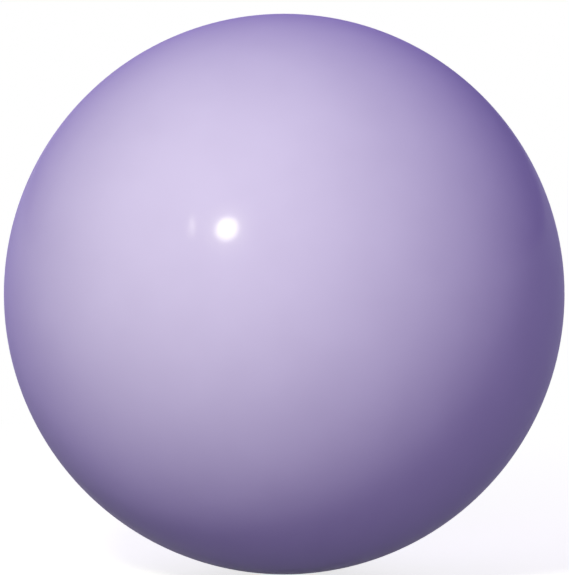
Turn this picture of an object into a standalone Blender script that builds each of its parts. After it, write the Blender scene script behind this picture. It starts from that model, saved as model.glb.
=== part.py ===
"""Rhythmic gymnastics ball: a one-piece rubber cover moulded over an air bladder, with a plug valve.

Units are metres and +Z is up. The origin is the centre of the ball, and the valve looks along +Y.
Every piece is turned about the valve axis, so each one is a half profile with a Screw modifier.
A profile is a list of (distance from the valve axis, height along the valve axis) points, and it
runs up the inner side of its piece and down the outer side.
"""

import math

import bpy

# Ball and its two plies
BALL_DIAMETER = 0.185
COVER_WALL = 0.0023
BLADDER_WALL = 0.0010

# Space between neighbouring pieces
FIT_GAP = 0.0003

# Valve core: the plug that seals round the pump's needle
SHANK_DIAMETER = 0.0080
SHANK_TAPER = 0.0010
HEAD_LIP = 0.0010
HEAD_THICKNESS = 0.0015
HEAD_RECESS = 0.0002
GROOVE_COUNT = 4
GROOVE_WIDTH = 0.0012
GROOVE_DEPTH = 0.0004
NEEDLE_HOLE_DIAMETER = 0.0018
NEEDLE_HOLE_DEPTH = 0.0050
FUNNEL_WIDTH = 0.0009
FUNNEL_DEPTH = 0.0010

# Valve housing: the mushroom that carries the core
SEAT_RIM = 0.0017
SLEEVE_WALL = 0.0017
SLEEVE_LENGTH = 0.0090
SLEEVE_OVERHANG = 0.0005
FLANGE_WIDTH = 0.0080
FLANGE_THICKNESS = 0.0020
FLANGE_FEATHER = 0.0012

# Patches bonded inside the bladder
VALVE_PATCH_MARGIN = 0.0070
VALVE_PATCH_THICKNESS = 0.0008
VALVE_PATCH_FEATHER = 0.0020
BALANCE_PATCH_DIAMETER = 0.0500

# Facets round the valve axis and from pole to pole, and the least share of a facet at the end of an arc
FACETS_AROUND = 48
RINGS = 24
LEAST_FACET = 0.25
SHARP_ANGLE = math.radians(30)
MERGE_DISTANCE = 0.00001

# Colours in linear light, and how rough each finish is
LAVENDER = (0.50, 0.41, 0.72, 1.0)
PALE_LAVENDER = (0.60, 0.54, 0.74, 1.0)
DEEP_LAVENDER = (0.36, 0.29, 0.56, 1.0)
CARBON_BLACK = (0.025, 0.025, 0.028, 1.0)
NATURAL_TAN = (0.46, 0.30, 0.15, 1.0)
GLOSS = 0.30
SATIN = 0.50
MATTE = 0.65

# Radii of the layers, from the ball's surface inwards
cover_radius = BALL_DIAMETER / 2
cover_inner = cover_radius - COVER_WALL
bladder_radius = cover_inner - FIT_GAP
bladder_inner = bladder_radius - BLADDER_WALL
patch_radius = bladder_inner - FIT_GAP
patch_inner = patch_radius - VALVE_PATCH_THICKNESS
flange_radius = patch_inner - FIT_GAP
flange_inner = flange_radius - FLANGE_THICKNESS

# Distances from the valve axis, from the needle hole outwards
needle_hole = NEEDLE_HOLE_DIAMETER / 2
funnel_mouth = needle_hole + FUNNEL_WIDTH
shank = SHANK_DIAMETER / 2
shank_end = shank - SHANK_TAPER
bore = shank + FIT_GAP
bore_end = bore - SHANK_TAPER
sleeve = bore + SLEEVE_WALL
head = shank + HEAD_LIP
seat = head + FIT_GAP
stem = seat + SEAT_RIM
valve_hole = stem + FIT_GAP
flange_edge = stem + FLANGE_WIDTH
valve_patch_edge = flange_edge + VALVE_PATCH_MARGIN

# Heights along the valve axis, from the valve's face inwards
face_height = math.sqrt(cover_radius ** 2 - stem ** 2)
head_top = face_height - HEAD_RECESS
head_bottom = head_top - HEAD_THICKNESS
seat_height = head_bottom - FIT_GAP
sleeve_end = math.sqrt(flange_inner ** 2 - sleeve ** 2) - SLEEVE_LENGTH
core_end = sleeve_end + SLEEVE_OVERHANG


def angle_at(radius, distance):
    """The angle from the valve axis at which a sphere is this far from the axis."""
    return math.asin(distance / radius)


def arc(radius, first, last):
    """Points on a sphere from one angle to a larger one. All layers share the angles between them."""
    step = math.pi / RINGS
    margin = LEAST_FACET * step
    shared = [ring * step for ring in range(RINGS)]
    between = [angle for angle in shared if first + margin < angle < last - margin]
    angles = [first, *between, last]
    return [(radius * math.sin(angle), radius * math.cos(angle)) for angle in angles]


def shell_profile(outer_radius, inner_radius):
    """A ply of the ball: a hollow sphere with a hole for the valve's stem."""
    inner = arc(inner_radius, angle_at(inner_radius, valve_hole), math.pi)
    outer = arc(outer_radius, angle_at(outer_radius, valve_hole), math.pi)
    return inner[::-1] + outer


def valve_patch_profile():
    """A ring against the bladder, round the valve's stem, with a feathered edge."""
    inner_edge = angle_at(patch_inner, valve_patch_edge - VALVE_PATCH_FEATHER)
    outer = arc(patch_radius, angle_at(patch_radius, valve_hole), angle_at(patch_radius, valve_patch_edge))
    inner = arc(patch_inner, angle_at(patch_inner, valve_hole), inner_edge)
    return outer + inner[::-1]


def valve_housing_profile():
    """A tapered bore under the core's seat, a flush flat rim, a stem, a flange and a sleeve."""
    flange_outer_edge = angle_at(flange_radius, flange_edge)
    flange_inner_edge = angle_at(flange_inner, flange_edge - FLANGE_FEATHER)
    flange_outside = arc(flange_radius, angle_at(flange_radius, stem), flange_outer_edge)
    flange_inside = arc(flange_inner, angle_at(flange_inner, sleeve), flange_inner_edge)
    bore_and_rim = [
        (bore_end, sleeve_end),
        (bore, seat_height),
        (seat, seat_height),
        (seat, face_height),
        (stem, face_height),
    ]
    return bore_and_rim + flange_outside + flange_inside[::-1] + [(sleeve, sleeve_end)]


def grooved_shank():
    """The core's tapered side, top to bottom, with V grooves that leave sealing ribs between them."""
    length = head_bottom - core_end
    pitch = length / (GROOVE_COUNT + 1)

    def side(height):
        return shank - SHANK_TAPER * (head_bottom - height) / length

    points = [(shank, head_bottom)]
    for groove in range(1, GROOVE_COUNT + 1):
        middle = head_bottom - groove * pitch
        upper = middle + GROOVE_WIDTH / 2
        lower = middle - GROOVE_WIDTH / 2
        points += [(side(upper), upper), (side(middle) - GROOVE_DEPTH, middle), (side(lower), lower)]
    return points + [(shank_end, core_end)]


def valve_core_profile():
    """A blind needle hole with a funnel mouth, a round head and the grooved shank."""
    hole_bottom = head_top - NEEDLE_HOLE_DEPTH
    hole_and_head = [
        (0.0, hole_bottom),
        (needle_hole, hole_bottom),
        (needle_hole, head_top - FUNNEL_DEPTH),
        (funnel_mouth, head_top),
        (head, head_top),
        (head, head_bottom),
    ]
    return hole_and_head + grooved_shank() + [(0.0, core_end)]


def axial_moment(profile):
    """First moment of volume of a turned piece about the ball's centre, along the valve axis."""
    total = 0.0
    for (r1, z1), (r2, z2) in zip(profile, profile[1:] + profile[:1]):
        upper = z1 * (3 * r1 ** 2 + 2 * r1 * r2 + r2 ** 2)
        lower = z2 * (r1 ** 2 + 2 * r1 * r2 + 3 * r2 ** 2)
        total += (z1 - z2) * (upper + lower) / 12
    return math.pi * total


def balance_patch_profile(moment):
    """A disc opposite the valve, as thick as it takes to bring the centre of mass to the ball's centre.

    A layer of a sphere within an angle of its pole has the first moment
    pi / 4 * sin(angle) ** 2 * (outer radius ** 4 - inner radius ** 4).
    """
    spread = angle_at(patch_radius, BALANCE_PATCH_DIAMETER / 2)
    inner_radius = (patch_radius ** 4 - 4 * moment / (math.pi * math.sin(spread) ** 2)) ** 0.25
    inner = arc(inner_radius, math.pi - spread, math.pi)
    outer = arc(patch_radius, math.pi - spread, math.pi)
    return inner[::-1] + outer


def rubber(name, colour, roughness):
    """A plain rubber material."""
    material = bpy.data.materials.new(name)
    material.use_nodes = True
    shader = material.node_tree.nodes["Principled BSDF"]
    shader.inputs["Base Color"].default_value = colour
    shader.inputs["Roughness"].default_value = roughness
    shader.inputs["Metallic"].default_value = 0.0
    return material


def turn(name, profile, material, valve_axis, origin_height=0.0):
    """Turns a profile about the valve axis. The piece's origin is on the axis, at the given height."""
    outline = bpy.data.meshes.new(name)
    points = [(distance, 0.0, height - origin_height) for distance, height in profile]
    edges = [(index, index + 1) for index in range(len(points) - 1)]
    if profile[0][0] > MERGE_DISTANCE:
        edges.append((len(points) - 1, 0))
    outline.from_pydata(points, edges, [])
    piece = bpy.data.objects.new(name, outline)
    piece.location = (0.0, 0.0, origin_height)
    piece.parent = valve_axis
    valve_axis.users_collection[0].objects.link(piece)

    screw = piece.modifiers.new("turn", "SCREW")
    screw.axis = "Z"
    screw.steps = FACETS_AROUND
    screw.render_steps = FACETS_AROUND
    screw.use_merge_vertices = True
    screw.merge_threshold = MERGE_DISTANCE

    turned = piece.evaluated_get(bpy.context.evaluated_depsgraph_get())
    solid = bpy.data.meshes.new_from_object(turned)
    solid.name = name
    solid.shade_smooth()
    solid.set_sharp_from_angle(angle=SHARP_ANGLE)
    solid.materials.append(material)
    piece.modifiers.clear()
    piece.data = solid
    bpy.data.meshes.remove(outline)
    return piece


def start_assembly():
    """Empties the scene and returns the empty that carries every piece: its Z is the ball's +Y."""
    for old_object in list(bpy.data.objects):
        bpy.data.objects.remove(old_object, do_unlink=True)
    collection = bpy.data.collections.new("rhythmic_gymnastics_ball")
    bpy.context.scene.collection.children.link(collection)
    valve_axis = bpy.data.objects.new("valve_axis", None)
    valve_axis.rotation_euler = (-math.pi / 2, 0.0, 0.0)
    collection.objects.link(valve_axis)
    return valve_axis


def main():
    valve_axis = start_assembly()
    cover = shell_profile(cover_radius, cover_inner)
    bladder = shell_profile(bladder_radius, bladder_inner)
    valve_patch = valve_patch_profile()
    housing = valve_housing_profile()
    core = valve_core_profile()
    unbalanced = [cover, bladder, valve_patch, housing, core]
    balance_patch = balance_patch_profile(sum(axial_moment(profile) for profile in unbalanced))

    turn("cover", cover, rubber("cover_rubber", LAVENDER, GLOSS), valve_axis)
    turn("bladder", bladder, rubber("bladder_rubber", CARBON_BLACK, MATTE), valve_axis)
    turn("valve_patch", valve_patch, rubber("valve_patch_rubber", NATURAL_TAN, MATTE), valve_axis)
    turn("valve_housing", housing, rubber("housing_rubber", DEEP_LAVENDER, SATIN), valve_axis)
    turn("valve_core", core, rubber("core_rubber", PALE_LAVENDER, SATIN), valve_axis, head_top)
    turn("balance_patch", balance_patch, rubber("balance_patch_rubber", NATURAL_TAN, MATTE), valve_axis)


main()
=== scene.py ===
"""Looks of the rhythmic gymnastics ball: a glossy lavender rubber cover and its moulded plug valve.

Units are metres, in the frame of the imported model: the ball's centre is the origin, +Z is up and the
valve looks along +Y. A profile is a list of corners (distance from the axis it is turned about, height
along that axis, rounding). A piece's profile runs up its inner side and down its outer side.
"""

import math

import bpy
from mathutils import Matrix, Vector


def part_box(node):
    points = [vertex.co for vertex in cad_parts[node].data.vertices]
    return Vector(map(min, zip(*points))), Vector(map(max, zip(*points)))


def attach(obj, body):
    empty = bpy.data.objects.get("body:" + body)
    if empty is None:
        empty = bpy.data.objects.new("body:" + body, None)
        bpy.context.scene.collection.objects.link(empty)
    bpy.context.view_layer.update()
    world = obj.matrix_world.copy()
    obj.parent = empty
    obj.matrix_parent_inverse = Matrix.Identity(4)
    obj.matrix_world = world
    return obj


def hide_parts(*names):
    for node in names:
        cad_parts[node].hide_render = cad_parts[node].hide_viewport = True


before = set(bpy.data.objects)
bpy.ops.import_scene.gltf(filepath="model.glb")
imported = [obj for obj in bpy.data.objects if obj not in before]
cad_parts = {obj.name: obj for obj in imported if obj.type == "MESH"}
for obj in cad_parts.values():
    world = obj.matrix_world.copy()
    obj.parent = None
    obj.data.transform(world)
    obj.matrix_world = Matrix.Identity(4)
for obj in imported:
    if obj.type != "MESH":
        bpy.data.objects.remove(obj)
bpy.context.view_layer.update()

# Photograph: its size, the ball's outline, its highlight and the faint streak beside that, in pixels
PHOTO_WIDTH = 569
PHOTO_HEIGHT = 575
OUTLINE_X = 284.2
OUTLINE_Y = 294.1
OUTLINE_RADIUS = 280.4
HIGHLIGHT = (226.8, 228.6)
STREAK = (192.0, 226.0)

# Camera: its lens and sensor in millimetres, and how steeply it looks down
LENS = 250.0
SENSOR = 36.0
CAMERA_ELEVATION = math.radians(3)

# Lamps: each one's distance, width and height, tint, and level, which is the light on a surface that faces
# it, where 1 shows a colour as it is written. The key stands where the ball mirrors it as the photograph's
# highlight, in a dish that makes the highlight's halo, and a strip makes the streak
KEY_DISTANCE = 0.45
KEY_TINT = (0.97, 1.0, 0.70)
KEY_SIZE = (0.076, 0.076)
KEY_LEVEL = 0.70
DISH_SIZE = (0.173, 0.173)
DISH_LEVEL = 0.16
STRIP_SIZE = (0.010, 0.073)
STRIP_LEVEL = 0.06

# The other two lamps stand in a direction from the ball's centre: (right, up, towards the camera)
FILL_DIRECTION = (0.0, 0.06, 1.0)
FILL_DISTANCE = 2.6
FILL_SIZE = (0.6, 0.6)
FILL_TINT = (0.78, 0.62, 1.0)
FILL_LEVEL = 0.38
REAR_DIRECTION = (0.0, 0.20, -0.98)
REAR_DISTANCE = 2.0
REAR_SIZE = (3.4, 0.8)
REAR_TINT = (0.96, 0.92, 1.0)
REAR_LEVEL = 1.00

# Light from all round
WORLD_TINT = (0.86, 0.76, 1.0)
WORLD_LEVEL = 0.27

# Floor: a flat disc with a low rounded wall. It glows in white where it is looked at, a little less near
# the ball, where the lamps' light makes up the rest and leaves the ball's shadow
FLOOR_RADIUS = 3.0
WALL_ROUNDING = 0.25
WALL_HEIGHT = 0.45
SHADOW_REACH = (0.15, 0.60)
NEAR_GLOW = 0.75
NEAR_WHITE = 0.50
FLOOR_BOUNCE = (0.10, 0.10, 0.10)

# Noise: its detail, and the range that most of it lies in
NOISE_DETAIL = 2.0
NOISE_MIDDLE = (0.3, 0.7)

# Rubbers: the two colours in linear light that each wanders between, the range of its roughness, how many
# mottles and grains there are to a metre, and how deep the grains are
COVER_RUBBER = {
    "colours": ((0.548, 0.511, 0.708), (0.568, 0.531, 0.732)),
    "roughness": (0.62, 0.70),
    "mottles": 45.0,
    "grains": 600.0,
    "grain_depth": 0.000004,
}
HOUSING_RUBBER = {
    "colours": ((0.34, 0.27, 0.54), (0.38, 0.31, 0.58)),
    "roughness": (0.42, 0.55),
    "mottles": 250.0,
    "grains": 2500.0,
    "grain_depth": 0.00002,
}
CORE_RUBBER = {
    "colours": ((0.58, 0.52, 0.72), (0.63, 0.57, 0.77)),
    "roughness": (0.45, 0.58),
    "mottles": 300.0,
    "grains": 2500.0,
    "grain_depth": 0.00002,
}
BLADDER_RUBBER = {
    "colours": ((0.020, 0.020, 0.022), (0.040, 0.040, 0.042)),
    "roughness": (0.55, 0.75),
    "mottles": 60.0,
    "grains": 900.0,
    "grain_depth": 0.00002,
}
PATCH_RUBBER = {
    "colours": ((0.42, 0.27, 0.13), (0.50, 0.33, 0.17)),
    "roughness": (0.60, 0.75),
    "mottles": 150.0,
    "grains": 1500.0,
    "grain_depth": 0.00003,
}

# How much finer the changes of roughness are than the mottles
GLOSS_FINENESS = 3

# Gloss of the cover: little of the rubber's own, a thin clear coat, and a sheen that deepens the violet of
# the edges
COVER_GLOSS = {
    "Specular IOR Level": 0.04,
    "Coat Weight": 0.16,
    "Coat Roughness": 0.12,
    "Coat IOR": 1.5,
    "Sheen Weight": 0.38,
    "Sheen Roughness": 0.80,
    "Sheen Tint": (0.16, 0.0, 1.0, 1.0),
}

# Gaps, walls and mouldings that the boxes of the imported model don't give
FIT_GAP = 0.0003
COVER_LIP = 0.0005
HEAD_LIP = 0.0010
HEAD_THICKNESS = 0.0015
SHANK_TAPER = 0.0010
SLEEVE_WALL = 0.0017
FLANGE_THICKNESS = 0.0020
FLANGE_FEATHER = 0.0012
VALVE_PATCH_THICKNESS = 0.0008
BLADDER_WALL = 0.0010
GROOVE_COUNT = 4
GROOVE_WIDTH = 0.0012
GROOVE_DEPTH = 0.0004
NEEDLE_HOLE_DIAMETER = 0.0018
NEEDLE_HOLE_DEPTH = 0.0050
FUNNEL_WIDTH = 0.0009
FUNNEL_DEPTH = 0.0010
SMALL_ROUNDING = 0.0002
ROUNDING = 0.0004

# Smoothness of the turned pieces
COVER_FACETS = 192
COVER_RINGS = 96
VALVE_FACETS = 96
FLANGE_RINGS = 4
ROUND_STEPS = 6
SHARP_ANGLE = math.radians(40)
MERGE_DISTANCE = 0.000001

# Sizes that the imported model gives, and what follows from them
ball_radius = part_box("cover")[1].x
bladder_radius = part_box("bladder")[1].x
housing_low, housing_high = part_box("valve_housing")
core_low, core_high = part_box("valve_core")
cover_inner = bladder_radius + FIT_GAP
patch_radius = bladder_radius - BLADDER_WALL - FIT_GAP
flange_radius = patch_radius - VALVE_PATCH_THICKNESS - FIT_GAP
flange_inner = flange_radius - FLANGE_THICKNESS
flange_edge = housing_high.x
face_height = housing_high.y
sleeve_end = housing_low.y
head = core_high.x
head_top = core_high.y
core_end = core_low.y
head_bottom = head_top - HEAD_THICKNESS
seat_height = head_bottom - FIT_GAP
stem = math.sqrt(ball_radius ** 2 - face_height ** 2)
valve_hole = stem + FIT_GAP
seat = head + FIT_GAP
shank = head - HEAD_LIP
shank_end = shank - SHANK_TAPER
bore = shank + FIT_GAP
bore_end = bore - SHANK_TAPER
sleeve = bore + SLEEVE_WALL

# Lens in pixels of the photograph, and how far away it sees the ball as large as the outline
photo_side = max(PHOTO_WIDTH, PHOTO_HEIGHT)
focal_length = LENS / SENSOR * photo_side
camera_distance = ball_radius / math.sin(math.atan(OUTLINE_RADIUS / focal_length))


def sphere_arc(radius, first, last, rings):
    """Corners on a sphere, from one angle from the valve axis to a larger one."""
    angles = [first + (last - first) * ring / rings for ring in range(rings + 1)]
    return [(radius * math.sin(angle), radius * math.cos(angle), 0.0) for angle in angles]


def cap(radius, nearest, farthest, rings):
    """Corners on the valve's half of a sphere, from one distance from the axis to a larger one."""
    return sphere_arc(radius, math.asin(nearest / radius), math.asin(farthest / radius), rings)


def shell(radius, nearest, rings):
    """Corners on a sphere, from a distance from the axis, on the valve's half, to the far pole."""
    return sphere_arc(radius, math.asin(nearest / radius), math.pi, rings)


def rounded(corners):
    """The points of a profile: each corner with a rounding becomes an arc."""
    points = []
    for index, (distance, height, rounding) in enumerate(corners):
        corner = Vector((distance, height))
        if rounding == 0.0:
            points.append(corner)
            continue
        before = (Vector(corners[index - 1][:2]) - corner).normalized()
        after = (Vector(corners[(index + 1) % len(corners)][:2]) - corner).normalized()
        half_angle = before.angle(after) / 2
        centre = corner + (before + after).normalized() * rounding / math.sin(half_angle)
        start = (corner + before * rounding / math.tan(half_angle) - centre).normalized()
        end = (corner + after * rounding / math.tan(half_angle) - centre).normalized()
        for step in range(ROUND_STEPS + 1):
            points.append(centre + start.slerp(end, step / ROUND_STEPS) * rounding)
    return points


def placed(name, data):
    """A new object in the scene."""
    thing = bpy.data.objects.new(name, data)
    bpy.context.scene.collection.objects.link(thing)
    return thing


def turned(name, points, facets):
    """A mesh object: the points turned about +Z, and joined into a ring if they don't start on it."""
    outline = bpy.data.meshes.new(name)
    edges = [(index, index + 1) for index in range(len(points) - 1)]
    if points[0].x > MERGE_DISTANCE:
        edges.append((len(points) - 1, 0))
    outline.from_pydata([(point.x, 0.0, point.y) for point in points], edges, [])
    piece = placed(name, outline)
    screw = piece.modifiers.new("turn", "SCREW")
    screw.axis = "Z"
    screw.steps = facets
    screw.render_steps = facets
    screw.use_merge_vertices = True
    screw.merge_threshold = MERGE_DISTANCE

    evaluated = piece.evaluated_get(bpy.context.evaluated_depsgraph_get())
    piece.data = bpy.data.meshes.new_from_object(evaluated)
    piece.data.name = name
    piece.modifiers.clear()
    bpy.data.meshes.remove(outline)
    piece.data.shade_smooth()
    piece.data.set_sharp_from_angle(angle=SHARP_ANGLE)
    return piece


def along_valve(piece):
    """A piece that was turned about +Z, laid along the valve axis."""
    piece.data.transform(Matrix.Rotation(-math.pi / 2, 4, "X"))
    return piece


def cover_profile():
    """A hollow sphere with a rolled lip round the valve's hole."""
    inner = shell(cover_inner, valve_hole, COVER_RINGS // 2)
    outer = shell(ball_radius, valve_hole, COVER_RINGS)
    lip = (*outer[0][:2], COVER_LIP)
    return rounded(inner[::-1] + [lip] + outer[1:])


def valve_housing_profile():
    """A tapered bore under the core's seat, a flat rim, a stem, a flange and a sleeve."""
    bore_and_rim = [
        (bore_end, sleeve_end, SMALL_ROUNDING),
        (bore, seat_height, SMALL_ROUNDING),
        (seat, seat_height, SMALL_ROUNDING),
        (seat, face_height, ROUNDING),
        (stem, face_height, ROUNDING),
    ]
    flange_outside = cap(flange_radius, stem, flange_edge, FLANGE_RINGS)
    flange_inside = cap(flange_inner, sleeve, flange_edge - FLANGE_FEATHER, FLANGE_RINGS)
    return rounded(bore_and_rim + flange_outside + flange_inside[::-1] + [(sleeve, sleeve_end, ROUNDING)])


def grooved_shank():
    """The core's tapered side, top to bottom, with round-edged grooves between its sealing ribs."""
    length = head_bottom - core_end
    pitch = length / (GROOVE_COUNT + 1)

    def side(height):
        return shank - SHANK_TAPER * (head_bottom - height) / length

    corners = [(shank, head_bottom, SMALL_ROUNDING)]
    for groove in range(1, GROOVE_COUNT + 1):
        middle = head_bottom - groove * pitch
        upper = middle + GROOVE_WIDTH / 2
        lower = middle - GROOVE_WIDTH / 2
        corners += [
            (side(upper), upper, SMALL_ROUNDING),
            (side(middle) - GROOVE_DEPTH, middle, SMALL_ROUNDING),
            (side(lower), lower, SMALL_ROUNDING),
        ]
    return corners + [(shank_end, core_end, ROUNDING)]


def valve_core_profile():
    """A blind needle hole with a funnel mouth, a round head and the grooved shank."""
    needle_hole = NEEDLE_HOLE_DIAMETER / 2
    hole_bottom = head_top - NEEDLE_HOLE_DEPTH
    hole_and_head = [
        (0.0, hole_bottom, 0.0),
        (needle_hole, hole_bottom, SMALL_ROUNDING),
        (needle_hole, head_top - FUNNEL_DEPTH, SMALL_ROUNDING),
        (needle_hole + FUNNEL_WIDTH, head_top, SMALL_ROUNDING),
        (head, head_top, ROUNDING),
        (head, head_bottom, SMALL_ROUNDING),
    ]
    return rounded(hole_and_head + grooved_shank() + [(0.0, core_end, 0.0)])


def noise(tree, scale):
    """A noise in the piece's own space, so that scale is in bumps per metre."""
    place = tree.nodes.new("ShaderNodeTexCoord")
    texture = tree.nodes.new("ShaderNodeTexNoise")
    texture.inputs["Scale"].default_value = scale
    texture.inputs["Detail"].default_value = NOISE_DETAIL
    tree.links.new(place.outputs["Object"], texture.inputs["Vector"])
    return texture.outputs["Fac"]


def spread(tree, value, known, wanted):
    """A value stretched from one range to another."""
    ramp = tree.nodes.new("ShaderNodeMapRange")
    ramp.inputs["From Min"].default_value = known[0]
    ramp.inputs["From Max"].default_value = known[1]
    ramp.inputs["To Min"].default_value = wanted[0]
    ramp.inputs["To Max"].default_value = wanted[1]
    tree.links.new(value, ramp.inputs["Value"])
    return ramp.outputs["Result"]


def mixed(tree, share, first, second):
    """A colour between two colours, by a share from 0 to 1."""
    mix = tree.nodes.new("ShaderNodeMix")
    mix.data_type = "RGBA"
    tree.links.new(share, mix.inputs["Factor"])
    mix.inputs["A"].default_value = (*first, 1.0)
    mix.inputs["B"].default_value = (*second, 1.0)
    return mix.outputs["Result"]


def rubber(name, colours, roughness, mottles, grains, grain_depth):
    """A rubber whose colour wanders between two colours, with an uneven gloss and a fine grain."""
    material = bpy.data.materials.new(name)
    material.use_nodes = True
    tree = material.node_tree
    shader = tree.nodes["Principled BSDF"]
    shade = spread(tree, noise(tree, mottles), NOISE_MIDDLE, (0.0, 1.0))
    tree.links.new(mixed(tree, shade, *colours), shader.inputs["Base Color"])
    gloss = spread(tree, noise(tree, mottles * GLOSS_FINENESS), NOISE_MIDDLE, roughness)
    tree.links.new(gloss, shader.inputs["Roughness"])
    bump = tree.nodes.new("ShaderNodeBump")
    bump.inputs["Distance"].default_value = grain_depth
    tree.links.new(noise(tree, grains), bump.inputs["Height"])
    for normal in ("Normal", "Coat Normal"):
        tree.links.new(bump.outputs["Normal"], shader.inputs[normal])
    return material


def cover_finish():
    """The cover's lavender rubber with its gloss."""
    material = rubber("glossy_lavender", **COVER_RUBBER)
    shader = material.node_tree.nodes["Principled BSDF"]
    for socket, value in COVER_GLOSS.items():
        shader.inputs[socket].default_value = value
    return material


def paint(piece, material):
    """Gives a piece one material all over."""
    piece.data.materials.clear()
    piece.data.materials.append(material)


def dress(piece, node, body, material):
    """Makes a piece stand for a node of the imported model."""
    paint(piece, material)
    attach(piece, body)
    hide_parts(node)


def seen_from_camera(direction):
    """A direction (right, up, towards the camera) in the ball's frame."""
    right = Vector((1.0, 0.0, 0.0))
    up = Vector((0.0, math.sin(CAMERA_ELEVATION), math.cos(CAMERA_ELEVATION)))
    back = Vector((0.0, -math.cos(CAMERA_ELEVATION), math.sin(CAMERA_ELEVATION)))
    return (right * direction[0] + up * direction[1] + back * direction[2]).normalized()


def mirrored_at(x, y):
    """The point of the ball at a pixel of the photograph, and the sight and its up as mirrored there."""
    camera = seen_from_camera((0.0, 0.0, 1.0)) * camera_distance
    sight = seen_from_camera((x - OUTLINE_X, OUTLINE_Y - y, -focal_length))
    nearest = -camera.dot(sight)
    depth = nearest - math.sqrt(nearest ** 2 - camera.length_squared + ball_radius ** 2)
    point = camera + sight * depth
    normal = point.normalized()
    return point, sight.reflect(normal), seen_from_camera((0.0, 1.0, 0.0)).reflect(normal)


def lamp(name, aim, direction, up, distance, size, level, tint):
    """An oval lamp that looks at a point. Its power gives the level on a surface there that faces it."""
    light = bpy.data.lights.new(name, "AREA")
    light.shape = "ELLIPSE"
    light.size, light.size_y = size
    light.color = tint
    light.energy = level * (math.pi * distance) ** 2
    holder = placed(name, light)
    right = up.cross(direction).normalized()
    axes = Matrix((right, direction.cross(right), direction)).transposed()
    holder.matrix_world = Matrix.LocRotScale(aim + direction * distance, axes.to_quaternion(), None)
    holder.visible_camera = False
    return holder


def make_lights():
    """The key with its dish and strip, which the ball mirrors, and the fill and the rear lamp."""
    for name, pixel, size, level in (
        ("key", HIGHLIGHT, KEY_SIZE, KEY_LEVEL),
        ("dish", HIGHLIGHT, DISH_SIZE, DISH_LEVEL),
        ("strip", STREAK, STRIP_SIZE, STRIP_LEVEL),
    ):
        aim, direction, up = mirrored_at(*pixel)
        lamp(name, aim, direction, up, KEY_DISTANCE, size, level, KEY_TINT)
    middle = Vector((0.0, 0.0, 0.0))
    up = Vector((0.0, 0.0, 1.0))
    for name, direction, distance, size, level, tint in (
        ("fill", FILL_DIRECTION, FILL_DISTANCE, FILL_SIZE, FILL_LEVEL, FILL_TINT),
        ("rear", REAR_DIRECTION, REAR_DISTANCE, REAR_SIZE, REAR_LEVEL, REAR_TINT),
    ):
        soft = lamp(name, middle, seen_from_camera(direction), up, distance, size, level, tint)
        soft.visible_glossy = False


def make_world():
    """An even light from all round."""
    world = bpy.data.worlds.new("studio")
    world.use_nodes = True
    sky = world.node_tree.nodes["Background"]
    sky.inputs["Color"].default_value = (*WORLD_TINT, 1.0)
    sky.inputs["Strength"].default_value = WORLD_LEVEL
    bpy.context.scene.world = world


def looked_at(tree):
    """1 for the camera's rays, straight, mirrored or through glass, and 0 for light that is thrown back."""
    path = tree.nodes.new("ShaderNodeLightPath")
    seen = path.outputs["Is Camera Ray"]
    for other in ("Is Glossy Ray", "Is Transmission Ray"):
        either = tree.nodes.new("ShaderNodeMath")
        either.operation = "MAXIMUM"
        tree.links.new(seen, either.inputs[0])
        tree.links.new(path.outputs[other], either.inputs[1])
        seen = either.outputs["Value"]
    return seen


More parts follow.
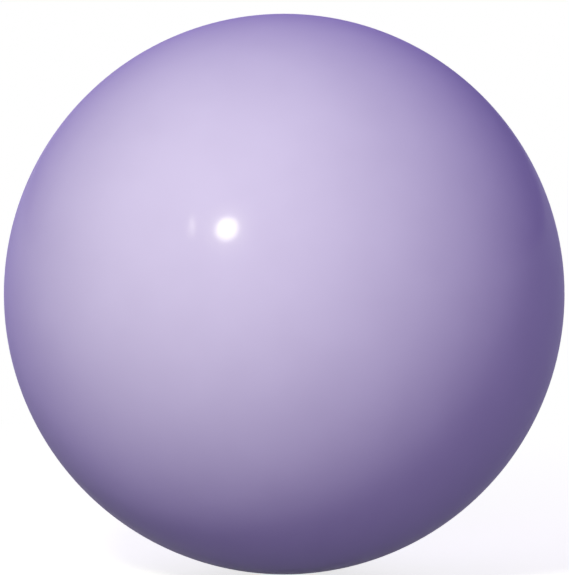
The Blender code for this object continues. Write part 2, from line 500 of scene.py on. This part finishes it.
def floor_material():
    """White where it is looked at, with the ball's shadow, and a dark grey to the light it throws back."""
    material = bpy.data.materials.new("floor")
    material.use_nodes = True
    tree = material.node_tree
    tree.nodes.clear()
    place = tree.nodes.new("ShaderNodeTexCoord")
    distance = tree.nodes.new("ShaderNodeVectorMath")
    distance.operation = "LENGTH"
    tree.links.new(place.outputs["Object"], distance.inputs[0])
    glow = tree.nodes.new("ShaderNodeEmission")
    strength = spread(tree, distance.outputs["Value"], SHADOW_REACH, (NEAR_GLOW, 1.0))
    tree.links.new(strength, glow.inputs["Strength"])
    lit = tree.nodes.new("ShaderNodeBsdfDiffuse")
    white = spread(tree, distance.outputs["Value"], SHADOW_REACH, (NEAR_WHITE, 0.0))
    tree.links.new(white, lit.inputs["Color"])
    shown = tree.nodes.new("ShaderNodeAddShader")
    tree.links.new(glow.outputs["Emission"], shown.inputs[0])
    tree.links.new(lit.outputs["BSDF"], shown.inputs[1])
    bounce = tree.nodes.new("ShaderNodeBsdfDiffuse")
    bounce.inputs["Color"].default_value = (*FLOOR_BOUNCE, 1.0)
    choice = tree.nodes.new("ShaderNodeMixShader")
    tree.links.new(looked_at(tree), choice.inputs["Fac"])
    tree.links.new(bounce.outputs["BSDF"], choice.inputs[1])
    tree.links.new(shown.outputs["Shader"], choice.inputs[2])
    output = tree.nodes.new("ShaderNodeOutputMaterial")
    tree.links.new(choice.outputs["Shader"], output.inputs["Surface"])
    return material


def make_floor():
    """A flat floor under the ball, with a low rounded wall all round it."""
    corners = [
        (0.0, 0.0, 0.0),
        (FLOOR_RADIUS, 0.0, WALL_ROUNDING),
        (FLOOR_RADIUS, WALL_HEIGHT, 0.0),
    ]
    floor = turned("floor", rounded(corners), COVER_FACETS)
    floor.location.z = -ball_radius
    paint(floor, floor_material())


def make_camera():
    """A camera from which the ball's outline has the photograph's size and place."""
    data = bpy.data.cameras.new("camera")
    data.lens = LENS
    data.sensor_width = SENSOR
    data.shift_x = (PHOTO_WIDTH / 2 - OUTLINE_X) / photo_side
    data.shift_y = (OUTLINE_Y - PHOTO_HEIGHT / 2) / photo_side
    camera = placed("camera", data)
    back = seen_from_camera((0.0, 0.0, 1.0))
    camera.location = back * camera_distance
    camera.rotation_mode = "QUATERNION"
    camera.rotation_quaternion = back.to_track_quat("Z", "Y")
    bpy.context.scene.camera = camera


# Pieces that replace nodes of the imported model
cover = along_valve(turned("cover_skin", cover_profile(), COVER_FACETS))
dress(cover, "cover", "ball", cover_finish())
housing = along_valve(turned("valve_housing_moulded", valve_housing_profile(), VALVE_FACETS))
dress(housing, "valve_housing", "ball", rubber("moulded_violet", **HOUSING_RUBBER))
core = along_valve(turned("valve_core_moulded", valve_core_profile(), VALVE_FACETS))
dress(core, "valve_core", "plug", rubber("moulded_pale_lavender", **CORE_RUBBER))

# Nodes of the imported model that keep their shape
paint(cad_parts["bladder"], rubber("carbon_black", **BLADDER_RUBBER))
patch_finish = rubber("natural_tan", **PATCH_RUBBER)
for node in ("valve_patch", "balance_patch"):
    paint(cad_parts[node], patch_finish)

# Studio
make_floor()
make_camera()
make_lights()
make_world()
bpy.context.scene.view_settings.view_transform = "Standard"
